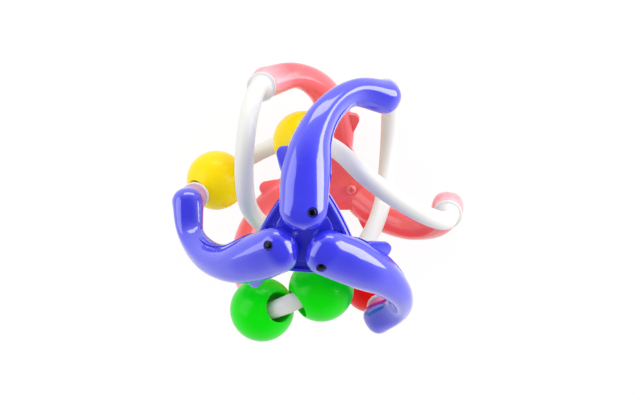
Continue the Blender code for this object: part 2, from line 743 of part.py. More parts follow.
def build():
    clear_scene()
    for side, flip in (("blue", False), ("coral", True)):
        outer_shell(side, side, flip)
        inner_shell(side, side, flip)
    tubes()
    collars()
    eyes()
    screws()
    beads()


build()
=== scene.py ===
from math import asin, ceil, copysign, cos, pi, radians, sin, sqrt

import bmesh
import bpy
from mathutils import Matrix, Quaternion, Vector

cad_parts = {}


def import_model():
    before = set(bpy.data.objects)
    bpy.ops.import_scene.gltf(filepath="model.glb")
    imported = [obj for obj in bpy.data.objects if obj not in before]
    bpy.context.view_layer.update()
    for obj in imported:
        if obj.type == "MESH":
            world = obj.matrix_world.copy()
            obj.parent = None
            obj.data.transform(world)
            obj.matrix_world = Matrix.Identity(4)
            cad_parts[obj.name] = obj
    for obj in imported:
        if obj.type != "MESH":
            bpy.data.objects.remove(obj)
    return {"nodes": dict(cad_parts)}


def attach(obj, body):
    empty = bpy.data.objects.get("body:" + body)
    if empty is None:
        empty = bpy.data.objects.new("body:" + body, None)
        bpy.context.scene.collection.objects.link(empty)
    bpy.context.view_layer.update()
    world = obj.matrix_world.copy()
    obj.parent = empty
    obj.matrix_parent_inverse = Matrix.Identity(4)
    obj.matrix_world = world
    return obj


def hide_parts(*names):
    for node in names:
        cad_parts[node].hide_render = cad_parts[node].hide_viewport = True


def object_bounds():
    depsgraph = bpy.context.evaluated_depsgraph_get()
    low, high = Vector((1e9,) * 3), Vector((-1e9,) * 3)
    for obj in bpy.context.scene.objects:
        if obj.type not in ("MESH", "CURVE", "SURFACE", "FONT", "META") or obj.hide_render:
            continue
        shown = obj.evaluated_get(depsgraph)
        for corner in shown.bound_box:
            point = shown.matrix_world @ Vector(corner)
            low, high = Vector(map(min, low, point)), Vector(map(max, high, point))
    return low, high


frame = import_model()
CAD_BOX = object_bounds()

MM = 0.001
ARMS = 3
GAP = 0.3
NEAR = 0.01                    # corners this close to a place count as being there
APART = 0.06                   # keeps flat faces of two solids that are joined out of one plane

# Dolphin: middle line, then half width, height outwards and depth inwards along it
SPINE = ((3.8, 0.0, 62.8), (14.0, 0.5, 58.4), (25.2, 1.2, 52.6), (39.2, -1.0, 44.1),
         (51.0, -7.0, 33.4), (58.8, -15.8, 21.5), (61.3, -28.4, 11.5))
SNOUT_RADIUS = 10.2
SNOUT_FULLNESS = 2.3           # superellipse power of the nose in plan, 2 is round
TAIL_RADIUS = 7.3
GIRTH = ((0.00, 10.2, 7.9, 6.6), (0.12, 10.3, 8.0, 6.8), (0.24, 10.5, 8.8, 7.2), (0.34, 9.7, 9.2, 7.2),
         (0.46, 7.9, 8.6, 6.8), (0.58, 6.4, 7.6, 6.2), (0.70, 5.3, 6.7, 5.7), (0.80, 4.9, 6.4, 5.7),
         (0.90, 5.8, 7.2, 6.5), (1.00, 7.3, 7.8, 7.3))
# Superellipse power of the curl's inner flank along the middle line, 2 is round
FLANK_SQUARENESS = ((0.00, 2.2), (0.40, 2.25), (0.68, 3.1), (0.88, 3.0), (1.00, 2.5))
BELLY_SQUARENESS = 2.3
SEAM_STEP = 0.5                # the inner shell's edge stands out this far past the outer shell
SEAM_DROP = 0.6                # the seam lies this far inside the widest line
SEAM_ROUNDING = 0.3
ROUNDING_REACH = 1.05          # the rounding's share, less how far the seam has closed up
SEAM_EDGE = 0.2
FLUSH_DROP = 0.5               # how far the outer shell comes down past the gap at the tail
FLUSH_SINK = 0.05              # and how far inside it the inner shell lies there
SEAM_FADE = (0.66, 0.80)       # shares of the length over which the seam closes up towards the tail
RING_STEP = 1.6
SECTION_POINTS = 30
LOW_POINTS = 8
END_RINGS = 11
BELLY_TIP = 0.19               # angle of the belly's first and last ring off its poles
UNDER_SNOUT = 0.97             # share of the quarter turn under a head where its skin may end
HALVINGS = 24                  # steps that find where the skin meets the hub's seam
EDGE_TURNS = (0.0, pi / 6, pi / 3, pi / 2)

# Hub
HUB_SPLIT_Z = 51.25
HUB_PLATE = 2.0
HUB_RIM_Z = 55.5
HUB_RIM_WIDTH = 1.5
HUB_INRADIUS = 17.0
HUB_CORNER_RADIUS = 29.0
HUB_PAD_RADIUS = 12.8
HUB_PAD_HEIGHT = 1.2
HUB_PAD_ROOT = 0.5             # the pad reaches this far into the plate
HUB_PAD_ROUNDING = 0.8
HUB_RIM_ROUNDING = 0.35
HUB_SINK = 0.04                # the inner plate ends this far below the inner shell's top
LIP_INSET, LIP_CLEARANCE = 1.0, 0.03
DISC_SIDES = 96

# Fin and eye
FIN_START, FIN_END = 23.0, 36.0
FIN_REACH = 4.2
FIN_THICKNESS = 2.2
FIN_ROUNDING = 0.35
EYE_RADIUS_FROM_AXIS = 11.5
EYE_TURN = -24.5
EYE_PUPIL_RADIUS = 1.5
EYE_WELL = 0.06
EYE_SOCKET_RADIUS = 2.2
EYE_SOCKET_DEPTH = 0.45
EYE_CUTTER_HEIGHT, EYE_CUTTER_SPREAD = 1.6, 0.4
EYE_PUPIL_HEIGHT, EYE_PUPIL_ROUNDING = 1.2, 0.3
EYE_DOME_INSET, EYE_DOME_RISE = 0.45, 0.13
EYE_LINE_INSET, EYE_LINE_RADIUS = 0.18, 0.2
EYE_LINE_SINK, EYE_LINE_FLATTEN = 0.12, 0.7
EYE_LEAN = 0.1                 # towards the nose

# Tube
TUBE_RADIUS = 4.2
TUBE_OFFSET = 29.3
TUBE_TILT = 54.7
MID_RADIUS, MID_ANGLE = 101.0, 17.3
BEND_RADIUS, BEND_ANGLE, BEND_ROLL = 29.0, 146.5, 64.5
END_RADIUS, END_ANGLE, END_ROLL = 25.0, 5.4, 150.0
FLARE_LENGTH = 9.0
FLARE_RADIUS = 6.1
FLARE_CURVE = 3                # power of the flare, 1 is a straight cone
FLANGE_RADIUS = 6.9
FLANGE_HALF = 0.9
FLANGE_ROUNDING = 0.4
SPIGOT_RADIUS = 3.3
SPIGOT_LENGTH = 12.4
COLLAR_RADIUS = 6.3
COLLAR_BORE = 3.8
COLLAR_ROUNDING = 0.5
BORE_SPARE = 4                 # the bore's cutter is this much longer than the collar
SOCKET_DEPTH = 9.5
TUBE_SIDES = 40
SPIN_STEP = 1.5

# Beads: colour, number, tube, place along it, the arc it rides on, hang and sway
BEAD_RADIUS = 15.0
BEAD_BORE = 6.8
BEAD_RIM = 0.7
BEADS = (("yellow", 1, 0, -83.3, "bend", 1.6, -0.9), ("yellow", 2, 0, -17.8, "mid", 1.9, 0.3),
         ("green", 1, 1, 76.0, "bend", 1.8, -0.6), ("green", 2, 1, 41.5, "bend", 1.4, 1.4),
         ("red", 1, 2, -82.0, "bend", 1.5, -1.0), ("red", 2, 2, -46.5, "bend", 1.5, 0.0))

HALF_TURN = Matrix.Rotation(pi, 4, "Y")

# Looks: how far from a coral tail's end the painted highlight on its tip fades (a pale wash painted in where
# reflected light falls), and each bead's colour and deeper shade
PAINTED_GLARE_FADE = (0.009, 0.021)
BEAD_COLOURS = {"yellow": ((1.0, 0.78, 0.0), (1.0, 0.64, 0.0)), "green": ((0.0, 0.86, 0.0), (0.0, 0.72, 0.0)),
                "red": ((1.0, 0.0, 0.0), (0.88, 0.0, 0.0))}

# Camera: the directions of its picture, its place and its lens
RIGHT = Vector((0.9925, 0.0361, -0.1166))
UP = Vector((-0.0650, 0.9648, -0.2548))
BACK = Vector((0.1033, 0.2604, 0.9600))
CAMERA_PLACE = (0.04992, 0.12575, 0.46096)
LENS, SENSOR = 56.3, 36.0

# Lamps: direction across, up and towards the camera, distance, width, height and power
LAMPS = {"right_box": (0.86, 0.20, 0.45, 0.75, 0.54, 0.52, 3.7),
         "left_box": (-0.85, 0.15, 0.50, 0.80, 0.75, 0.55, 2.0),
         "top_box": (0.05, 0.92, 0.30, 0.80, 0.60, 0.25, 1.5)}
SKY_LIGHT = 0.70
SKY_FALL = {"From Min": 0.15, "From Max": 0.75, "To Min": 1.0, "To Max": 0.06}
FLOOR_SIZE, FLOOR_CLEARANCE = 6.0, 0.0004
FLOOR_GREY, FLOOR_ROUGHNESS, FLOOR_SPECULAR = 0.92, 0.7, 0.1
FLOOR_GLOW, FLOOR_GLOW_SHARE = 1.03, 0.86


# Where things are

def polar(radius, degrees, height):
    return Vector((radius * cos(radians(degrees)), radius * sin(radians(degrees)), height))


def curve_through(knots, x):
    """Smooth value at x of a table whose rows start with their own x."""
    last = len(knots) - 1
    i = min(max(sum(1 for row in knots[1:-1] if row[0] <= x), 0), last - 1)
    x0, x1 = knots[i][0], knots[i + 1][0]
    u = (x - x0) / (x1 - x0)

    def slope(j):
        a, b = max(j - 1, 0), min(j + 1, last)
        return [(q - p) / (knots[b][0] - knots[a][0]) for p, q in zip(knots[a][1:], knots[b][1:])]

    h00, h10 = 2 * u**3 - 3 * u**2 + 1, u**3 - 2 * u**2 + u
    h01, h11 = -2 * u**3 + 3 * u**2, u**3 - u**2
    rows = zip(knots[i][1:], slope(i), knots[i + 1][1:], slope(i + 1))
    return [h00 * p + h10 * (x1 - x0) * m + h01 * q + h11 * (x1 - x0) * n for p, m, q, n in rows]


def facing(point, normal, up=Vector((0.0, 0.0, 1.0))):
    """Frame at a point whose Z looks along the normal."""
    z = normal.normalized()
    x = up.cross(z)
    x = x.normalized() if x.length > 1e-6 else Vector((1.0, 0.0, 0.0))
    y = z.cross(x)
    return Matrix(((x.x, y.x, z.x, point.x), (x.y, y.y, z.y, point.y),
                   (x.z, y.z, z.z, point.z), (0, 0, 0, 1)))


def spine_knots():
    points = [polar(*row) for row in SPINE]
    knots, along = [], 0.0
    for i, point in enumerate(points):
        along += (point - points[i - 1]).length if i else 0.0
        knots.append((along, point.x, point.y, point.z))
    return knots


KNOTS = spine_knots()
SPINE_LENGTH = KNOTS[-1][0]


def spine_point(s):
    if s <= SPINE_LENGTH:
        return Vector(curve_through(KNOTS, s))
    end = Vector(curve_through(KNOTS, SPINE_LENGTH))
    before = Vector(curve_through(KNOTS, SPINE_LENGTH - 0.5))
    return end + (end - before).normalized() * (s - SPINE_LENGTH)


def spine_frame(s):
    """Point, direction, outward normal and the direction of the curl's inner flank."""
    point = spine_point(s)
    ahead = (spine_point(s + 0.5) - spine_point(max(s - 0.5, 0.0))).normalized()
    outward = (point - ahead * point.dot(ahead)).normalized()
    return point, ahead, outward, ahead.cross(outward)


def girth(s):
    f = min(max(s / SPINE_LENGTH, 0.0), 1.0)
    width, high, deep = curve_through(GIRTH, f)
    return width, high, deep, curve_through(FLANK_SQUARENESS, f)[0]


def end_scale(s, inset=0.0):
    if s < SNOUT_RADIUS:
        away = (SNOUT_RADIUS - s) / (SNOUT_RADIUS - inset)
        return max(1 - away ** SNOUT_FULLNESS, 0.0) ** (1 / SNOUT_FULLNESS)
    if s > SPINE_LENGTH:
        return sqrt(max(1 - ((s - SPINE_LENGTH) / (TAIL_RADIUS - inset)) ** 2, 0.0))
    return 1.0


def split_place():
    """Where along the middle line the seam comes down to the hub's own seam."""
    s = SNOUT_RADIUS
    while (spine_point(s) - spine_frame(s)[2] * SEAM_DROP).z > HUB_SPLIT_Z + GAP / 2:
        s += 0.05
    return s


SPLIT_PLACE = split_place()


def stations(nose_inset=0.0, tail_inset=0.0, tip=0.05):
    """Places along the middle line where a ring is set, closer at the round ends."""
    nose, tail = SNOUT_RADIUS - nose_inset, TAIL_RADIUS - tail_inset
    steps = ceil((SPINE_LENGTH - SNOUT_RADIUS) / RING_STEP)
    turns = [tip + (pi / 2 - tip) * i / END_RINGS for i in range(END_RINGS)]
    front = [SNOUT_RADIUS - nose * cos(t) for t in turns]
    body = [SNOUT_RADIUS + (SPINE_LENGTH - SNOUT_RADIUS) * i / steps for i in range(steps + 1)]
    nearest = min(body, key=lambda s: abs(s - SPLIT_PLACE))
    body[body.index(nearest)] = SPLIT_PLACE
    back = [SPINE_LENGTH + tail * cos(t) for t in turns[::-1]]
    return front + body + back


def seam_closing(s):
    """0 where the seam stands open, 1 at the tail, where the two shells lie flush."""
    low, high = SEAM_FADE
    return min(max((s / SPINE_LENGTH - low) / (high - low), 0.0), 1.0)


def skin(s, turn, inset=0.0):
    """Point of the dolphin's skin; the turn is 0 at the curl's inner flank, a quarter at the back,
    half at the belly's side and three quarters on the side that faces into the ball."""
    point, _, outward, flank = spine_frame(s)
    width, high, deep, square = girth(s)
    across, up = cos(turn), sin(turn)
    power = square if across > 0 else BELLY_SQUARENESS
    across = copysign(abs(across) ** (2 / power), across) * (width - inset)
    up = copysign(abs(up) ** (2 / power), up) * ((high if up > 0 else deep) - inset)
    return point + (flank * across + outward * up) * end_scale(s, inset)


def full_ring(s, inset):
    return [skin(s, pi * j / SECTION_POINTS, inset) for j in range(2 * SECTION_POINTS)]


def down_to_hub(s, start, way):
    """Down one side of a head from its widest line to the hub's seam, or nearly under the snout."""
    low, reach = HUB_SPLIT_Z + GAP / 2, pi / 2 * UNDER_SNOUT
    if skin(s, start + way * reach).z < low:
        above, below = 0.0, reach
        for _ in range(HALVINGS):
            reach = (above + below) / 2
            if skin(s, start + way * reach).z < low:
                below = reach
            else:
                above = reach
    return [skin(s, start + way * reach * (i + 1) / LOW_POINTS) for i in range(LOW_POINTS)]


def down_to_seam(s, start, inwards):
    """Straight down one side to the seam, with a rounded edge."""
    outward = spine_frame(s)[2]
    closing = seam_closing(s)
    foot = SEAM_DROP + closing * (GAP + FLUSH_DROP)
    edge = skin(s, start)
    rounding = min(SEAM_ROUNDING * (ROUNDING_REACH - closing), foot / 2, girth(s)[0] * end_scale(s) / 3)
    straight = LOW_POINTS - len(EDGE_TURNS)
    points = [edge - outward * (foot - rounding) * (i + 1) / (straight + 1) for i in range(straight)]
    low = edge - outward * foot
    return points + [low + outward * rounding * (1 - sin(a)) + inwards * rounding * (1 - cos(a))
                     for a in EDGE_TURNS]


def upper_ring(s):
    """The outer shell's section: over the back, then down both sides."""
    flank = spine_frame(s)[3]
    arc = [skin(s, pi * j / SECTION_POINTS) for j in range(SECTION_POINTS + 1)]
    if s <= SPLIT_PLACE:
        return arc + down_to_hub(s, pi, 1) + down_to_hub(s, 0.0, -1)[::-1]
    return arc + down_to_seam(s, pi, flank) + down_to_seam(s, 0.0, -flank)[::-1]


def lower_ring(s):
    """The inner shell's section, a little wider than the outer shell until the seam closes up."""
    _, _, outward, flank = spine_frame(s)
    inset = seam_closing(s) * (SEAM_STEP + FLUSH_SINK) - SEAM_STEP
    _, _, deep, square = girth(s)
    rise = (deep - inset) * end_scale(s, inset)
    depth = SEAM_DROP + GAP + SEAM_EDGE
    near, far = (asin((depth / rise) ** (power / 2)) for power in (square, BELLY_SQUARENESS))
    arc = [skin(s, -near - (pi - near - far) * j / SECTION_POINTS, inset)
           for j in range(SECTION_POINTS + 1)]
    tuck = min(SEAM_EDGE, (arc[0] - arc[-1]).length / 4)
    first = arc[0] + outward * SEAM_EDGE - flank * tuck
    last = arc[-1] + outward * SEAM_EDGE + flank * tuck
    return [first] + arc + [last]


def web_outline(grow=0.0, samples=32):
    """Triangle between the heads with bowed sides; its corners lie inside the dolphins."""
    outline = []
    for k in range(ARMS):
        start = polar(HUB_CORNER_RADIUS, 90 + 120 * k, 0)
        end = polar(HUB_CORNER_RADIUS, 90 + 120 * (k + 1), 0)
        middle = polar(HUB_INRADIUS + grow, 150 + 120 * k, 0)
        for i in range(samples):
            u = i / samples
            outline.append(start.lerp(end, u) + (middle - (start + end) / 2) * 4 * u * (1 - u))
    return outline


def head_spin(k):
    return Matrix.Rotation(radians(90 + 120 * k), 4, "Z")


def eye_frame(k):
    """Frame on a head's surface, Z outwards."""
    spot = polar(EYE_RADIUS_FROM_AXIS, EYE_TURN, 0)
    s = next(0.1 * i for i in range(400) if spine_point(0.1 * i).x > spot.x - 0.1)
    point, ahead, outward, flank = spine_frame(s)
    scale = end_scale(s)
    width, high, _, square = girth(s)
    width, high = width * scale, high * scale
    across = (spot - Vector((point.x, point.y, 0))).dot(flank) / width
    rise = (1 - abs(across) ** square) ** (1 / square)
    surface = point + flank * across * width + outward * rise * high
    normal = flank * across ** (square - 1) / width + outward * rise ** (square - 1) / high
    return head_spin(k) @ facing(surface, normal.normalized() - ahead * EYE_LEAN)


def tube_arcs():
    """Centre, axis, radius, angle and start of the three arcs of half a tube, coral end at +X."""
    heading = Vector((cos(radians(TUBE_TILT)), 0.0, sin(radians(TUBE_TILT))))
    point, normal = Vector((0.0, TUBE_OFFSET, 0.0)), Vector((0.0, -1.0, 0.0))
    arcs = []
    for radius, angle, roll in ((MID_RADIUS, MID_ANGLE, 0.0), (BEND_RADIUS, BEND_ANGLE, BEND_ROLL),
                                (END_RADIUS, END_ANGLE, END_ROLL)):
        normal = Quaternion(heading, radians(roll)) @ normal
        centre, axis = point + normal * radius, heading.cross(normal)
        arcs.append((centre, axis, radius, radians(angle), point, heading, normal))
        turn = Quaternion(axis, radians(angle))
        point, heading, normal = centre - (turn @ normal) * radius, turn @ heading, turn @ normal
    return arcs, facing(point, heading)


ARCS, TUBE_END = tube_arcs()


def tube_turn(k):
    return Matrix.Rotation(radians(-120 * k), 4, "Z")


def bead_place(k, place, arc, hang, sway):
    """Frame of a bead at rest, its Z along the bore."""
    index = {"mid": 0, "bend": 1}[arc]
    centre, axis, radius, _, _, heading, normal = ARCS[index]
    before = MID_RADIUS * radians(MID_ANGLE) * index
    turn = Quaternion(axis, (abs(place) - before) / radius)
    spot = centre - (turn @ normal) * (radius - hang) + axis * sway
    world = tube_turn(k) @ (HALF_TURN if place < 0 else Matrix())
    return facing(world @ spot, world.to_3x3() @ (turn @ heading))


# Modelling by hand: small helpers round the editor's own tools

def fresh(add, name, at=None, **size):
    """A primitive with nothing else selected, its place put into its mesh."""
    if bpy.context.object and bpy.context.object.mode != "OBJECT":
        bpy.ops.object.mode_set(mode="OBJECT")
    bpy.ops.object.select_all(action="DESELECT")
    add(**size)
    piece = bpy.context.object
    piece.name = name
    piece.data.name = name
    if at is not None:
        piece.matrix_world = scaled(at)
        bpy.ops.object.transform_apply(location=True, rotation=True, scale=True)
    return piece


def scaled(matrix):
    """A frame in millimetres as one in metres."""
    placed = matrix.copy()
    placed.translation = matrix.translation * MM
    return placed


def pick(piece, kind, test):
    """In edit mode, select only the corners, edges or faces whose middle passes a test."""
    bpy.ops.object.mode_set(mode="EDIT")
    bpy.context.tool_settings.mesh_select_mode = tuple(kind == word for word in ("VERT", "EDGE", "FACE"))
    bpy.ops.mesh.select_all(action="DESELECT")
    mesh = bmesh.from_edit_mesh(piece.data)
    for item in {"VERT": mesh.verts, "EDGE": mesh.edges, "FACE": mesh.faces}[kind]:
        corners = [item] if kind == "VERT" else item.verts
        if all(test(corner.co / MM) for corner in corners):
            item.select_set(True)
    mesh.select_flush_mode()
    bmesh.update_edit_mesh(piece.data)


def rounded(piece, width, segments=3):
    """Round the selected edges."""
    bpy.ops.mesh.bevel(offset=width * MM, segments=segments, profile=0.5, affect="EDGES")


def done(piece, angle=32):
    """Leave edit mode with faces outwards and soft shading up to an angle."""
    bpy.ops.object.mode_set(mode="EDIT")
    bpy.ops.mesh.select_all(action="SELECT")
    bpy.ops.mesh.remove_doubles(threshold=1e-6)
    bpy.ops.mesh.normals_make_consistent(inside=False)
    bpy.ops.object.mode_set(mode="OBJECT")
    only(piece)
    bpy.ops.object.shade_smooth_by_angle(angle=radians(angle))
    return piece


def only(piece):
    bpy.ops.object.select_all(action="DESELECT")
    piece.select_set(True)
    bpy.context.view_layer.objects.active = piece


def combine(target, others, operation):
    """Apply one exact Boolean of the other objects and drop them."""
    group = bpy.data.collections.new("operands")
    for other in others:
        for home in other.users_collection:
            home.objects.unlink(other)
        group.objects.link(other)
    modifier = target.modifiers.new("shape", "BOOLEAN")
    modifier.operation = operation
    modifier.solver = "EXACT"
    modifier.operand_type = "COLLECTION"
    modifier.collection = group
    only(target)
    bpy.context.view_layer.update()
    bpy.ops.object.modifier_apply(modifier=modifier.name)
    for other in others:
        bpy.data.objects.remove(other)
    bpy.data.collections.remove(group)
    return target


def copy_of(piece, name, turn):
    """A copy with its own mesh, turned about the ball's middle."""
    twin = piece.copy()
    twin.data = piece.data.copy()
    twin.name = name
    twin.data.name = name
    bpy.context.collection.objects.link(twin)
    twin.data.transform(turn)
    return twin


# Shader maths

class Signal:
    """A shader socket that can stand in a sum."""

    def __init__(self, finish, socket):
        self.finish = finish
        self.socket = socket

    def math(self, operation, a, b, clamp=False):
        return self.finish.node("ShaderNodeMath", {"operation": operation, "use_clamp": clamp}, {0: a, 1: b})

    def __add__(self, other):
        return self.math("ADD", self, other)

    __radd__ = __add__

    def __mul__(self, other):
        return self.math("MULTIPLY", self, other)

    __rmul__ = __mul__

    def __sub__(self, other):
        return self.math("SUBTRACT", self, other)

    def __rsub__(self, other):
        return self.math("SUBTRACT", other, self)

    def over(self, low, high):
        """0 below the low value, 1 above the high one."""
        return self.math("MULTIPLY", self - low, 1 / (high - low), clamp=True)


class Finish:
    """One material and the nodes behind it."""

    def __init__(self, name, **constants):
        self.material = bpy.data.materials.new(name)
        self.material.use_nodes = True
        self.nodes = self.material.node_tree.nodes
        self.shader = self.nodes["Principled BSDF"]
        for socket, value in constants.items():
            self.shader.inputs[socket.replace("_", " ")].default_value = value
        self.place = self.node("ShaderNodeTexCoord", {}, {}, "Object")

    def node(self, kind, settings, sockets, output=0):
        node = self.nodes.new(kind)
        for key, value in settings.items():
            setattr(node, key, value)
        for key, value in sockets.items():
            if isinstance(value, Signal):
                self.material.node_tree.links.new(value.socket, node.inputs[key])
            else:
                node.inputs[key].default_value = value
        return Signal(self, node.outputs[output])

    def noise(self, scale, detail=3.0, rough=0.5, swirl=0.0, at=None):
        sockets = {"Vector": at or self.place, "Scale": scale, "Detail": detail, "Roughness": rough,
                   "Distortion": swirl}
        return self.node("ShaderNodeTexNoise", {}, sockets)

    def stretched(self, scale, turn):
        return self.node("ShaderNodeMapping", {}, {"Vector": self.place, "Rotation": turn, "Scale": scale})

    def hairs(self, scale, turn, low, high):
        """Fine scratches in one direction."""
        return self.noise(1.0, detail=2.0, at=self.stretched(scale, turn)).over(low, high)

    def blend(self, share, first, second):
        """Colour that goes from the first to the second."""
        return self.node("ShaderNodeMix", {"data_type": "RGBA"}, {0: share, 6: first, 7: second}, 2)

    def bump(self, height, strength, distance):
        return self.node("ShaderNodeBump", {}, {"Height": height, "Strength": strength, "Distance": distance})

    def feed(self, **signals):
        for key, signal in signals.items():
            self.material.node_tree.links.new(signal.socket, self.shader.inputs[key.replace("_", " ")])
        return self.material


def from_tips(finish):
    """Distance to the nearest tail end of the coral side."""
    ends = [tube_turn(k) @ TUBE_END.translation * MM for k in range(ARMS)]
    far = [finish.node("ShaderNodeVectorMath", {"operation": "DISTANCE"}, {0: finish.place, 1: end}, 1)
           for end in ends]
    return far[0].math("MINIMUM", far[0].math("MINIMUM", far[0], far[1]), far[2])


def moulded(name, colour, deep, gloss=0.2, mottle=0.35, scuff=0.25, coat=1.0, coat_ior=1.8, ior=1.5,
            sheen=0.0, painted_tip_glare=None):
    """Glossy moulded plastic: clouded colour, faint flow marks, hairline scratches and soft rub marks, and,
    where asked, a painted highlight that pales the colour towards the coral tail ends.
    """
    finish = Finish(name, Coat_Weight=coat, Coat_Roughness=0.045, Coat_IOR=coat_ior, IOR=ior,
                    Sheen_Weight=sheen, Sheen_Roughness=0.35)
    cloud = finish.noise(38.0, detail=4.0, rough=0.55).over(0.34, 0.72)
    drawn = finish.stretched((0.35, 0.35, 1.6), (0.4, 0.2, 0.9))
    flow = finish.noise(120.0, detail=2.0, swirl=0.8, at=drawn).over(0.45, 0.75)
    rubbed = finish.noise(70.0, detail=5.0, rough=0.65).over(0.52, 0.8)
    hairs = (finish.hairs((90.0, 2600.0, 140.0), (0.3, 0.9, 0.5), 0.69, 0.76)
             + finish.hairs((2400.0, 110.0, 150.0), (1.1, 0.2, 0.8), 0.7, 0.77)).over(0.0, 1.0)
    grain = finish.noise(1500.0, 2.0)
    tone = finish.blend(cloud * mottle + flow * (mottle * 0.3), (*colour, 1.0), (*deep, 1.0))
    # Painted highlight: the colour pales towards each coral tail end, standing in for reflected light.
    if painted_tip_glare:
        tone = finish.blend(from_tips(finish).over(*PAINTED_GLARE_FADE), (*painted_tip_glare, 1.0), tone)
    paler = tuple(c + (1 - c) * 0.35 for c in colour)
    worn = finish.blend(hairs * (0.3 * scuff), tone, (*paler, 1.0))
    height = grain * 0.25 + cloud * 0.5 - hairs * 0.6
    return finish.feed(Base_Color=worn, Roughness=rubbed * (0.14 * scuff) + hairs * (0.2 * scuff) + gloss,
                       Normal=finish.bump(height, 0.22, 0.00006))


def steel(name, colour):
    """Screw steel lacquered in the shell's colour, with turning marks and rubs down to the metal."""
    finish = Finish(name, Coat_Weight=0.6, Coat_Roughness=0.15)
    marks = finish.noise(1.0, 3.0, 0.6, 0.0, finish.stretched((700.0, 700.0, 9000.0), (0.0, 0.0, 0.0)))
    rubbed = finish.noise(420.0, 4.0, 0.6).over(0.6, 0.75)
    tone = finish.blend(rubbed * 0.5, (*colour, 1.0), (0.60, 0.60, 0.62, 1.0))
    return finish.feed(Base_Color=tone, Metallic=rubbed * 0.5, Roughness=rubbed * 0.1 + marks * 0.1 + 0.3,
                       Normal=finish.bump(marks, 0.3, 0.00005))


def jet(name):
    """Polished black of the eyes."""
    finish = Finish(name, Coat_Weight=0.2, Coat_Roughness=0.02, IOR=1.25)
    dust = finish.noise(900.0, 4.0, 0.6).over(0.55, 0.8)
    tone = finish.blend(dust, (0.001, 0.001, 0.002, 1.0), (0.006, 0.006, 0.009, 1.0))
    return finish.feed(Base_Color=tone, Roughness=dust * 0.1 + 0.08, Normal=finish.bump(dust, 0.1, 0.00003))


FINISHES = {
    "blue_shell": moulded("blue_plastic", (0.048, 0.048, 0.86), (0.028, 0.026, 0.72)),
    # The coral's pale tail ends are a painted highlight.
    "coral_shell": moulded("coral_plastic", (1.0, 0.140, 0.165), (0.98, 0.095, 0.115), gloss=0.3, coat=0.45,
                           coat_ior=1.6, ior=1.6, sheen=0.4, painted_tip_glare=(1.0, 0.46, 0.52)),
    "tube": moulded("white_plastic", (0.82, 0.815, 0.785), (0.75, 0.745, 0.72), gloss=0.4, scuff=0.4,
                    coat=0.12, coat_ior=1.4),
    "blue_collar": moulded("mauve_plastic", (0.56, 0.26, 0.62), (0.44, 0.16, 0.50), gloss=0.35, coat=0.2),
    "coral_collar": moulded("pink_plastic", (0.95, 0.44, 0.52), (0.90, 0.36, 0.44), gloss=0.35, coat=0.2),
    **{f"{colour}_bead": moulded(f"{colour}_plastic", *tones, gloss=0.3, coat=0.2, coat_ior=1.5, ior=1.22)
       for colour, tones in BEAD_COLOURS.items()},
    "eye": jet("eye_black"),
    "blue_screw": steel("blue_lacquer", (0.07, 0.07, 0.8)),
    "coral_screw": steel("coral_lacquer", (1.0, 0.2, 0.22)),
}


def fitted(piece, node, slot, body="frame"):
    """Give a piece its finish and its body, in the place of a node."""
    piece.data.materials.clear()
    piece.data.materials.append(FINISHES[slot])
    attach(piece, body)
    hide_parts(node)


# Dolphins. A section that changes all along a curl can't be had from a primitive, so these
# bodies are laid up from rings, like the frames of a boat.

def laid_up(rings, name):
    bm = bmesh.new()
    rows = [[bm.verts.new(p * MM) for p in ring] for ring in rings]
    for row, after in zip(rows, rows[1:]):
        for j in range(len(row)):
            k = (j + 1) % len(row)
            bm.faces.new((row[j], after[j], after[k], row[k]))
    for row in (rows[0], rows[-1]):
        bm.faces.new(row)
    bmesh.ops.recalc_face_normals(bm, faces=bm.faces)
    mesh = bpy.data.meshes.new(name)
    bm.to_mesh(mesh)
    bm.free()
    piece = bpy.data.objects.new(name, mesh)
    bpy.context.collection.objects.link(piece)
    return piece


def three(piece):
    """The piece at its three places round the main axis."""
    copies = [copy_of(piece, f"{piece.name}_{k}", head_spin(k)) for k in range(ARMS)]
    bpy.data.objects.remove(piece)
    return copies


def web_plate(name, low, high, grow=0.0, rim=None):
    """The three-cornered plate: a disc drawn out to the outline, raised, and sunk inside its rim."""
    outline = web_outline(grow)
    piece = fresh(bpy.ops.mesh.primitive_circle_add, name, vertices=len(outline), fill_type="NGON")
    for corner, spot in zip(piece.data.vertices, outline):
        corner.co = (spot.x * MM, spot.y * MM, low * MM)
    bpy.ops.object.mode_set(mode="EDIT")
    bpy.ops.mesh.select_all(action="SELECT")
    bpy.ops.mesh.extrude_region_move(TRANSFORM_OT_translate={"value": (0, 0, (high - low) * MM)})
    if rim:
        width, floor = rim
        bpy.ops.mesh.inset(thickness=width * MM)
        bpy.ops.mesh.extrude_region_move(TRANSFORM_OT_translate={"value": (0, 0, (floor - high) * MM)})
        pick(piece, "FACE", lambda p: abs(p.z - high) < NEAR)
        bpy.ops.mesh.region_to_loop()
        rounded(piece, HUB_RIM_ROUNDING)
    return done(piece)


def disc(name, radius, low, high, rounding):
    """An upright disc with a rounded top edge."""
    piece = fresh(bpy.ops.mesh.primitive_cylinder_add, name, Matrix.Translation((0, 0, (low + high) / 2)),
                  vertices=DISC_SIDES, radius=radius * MM, depth=(high - low) * MM)
    pick(piece, "EDGE", lambda p: p.z > high - NEAR)
    rounded(piece, rounding, 4)
    return done(piece)


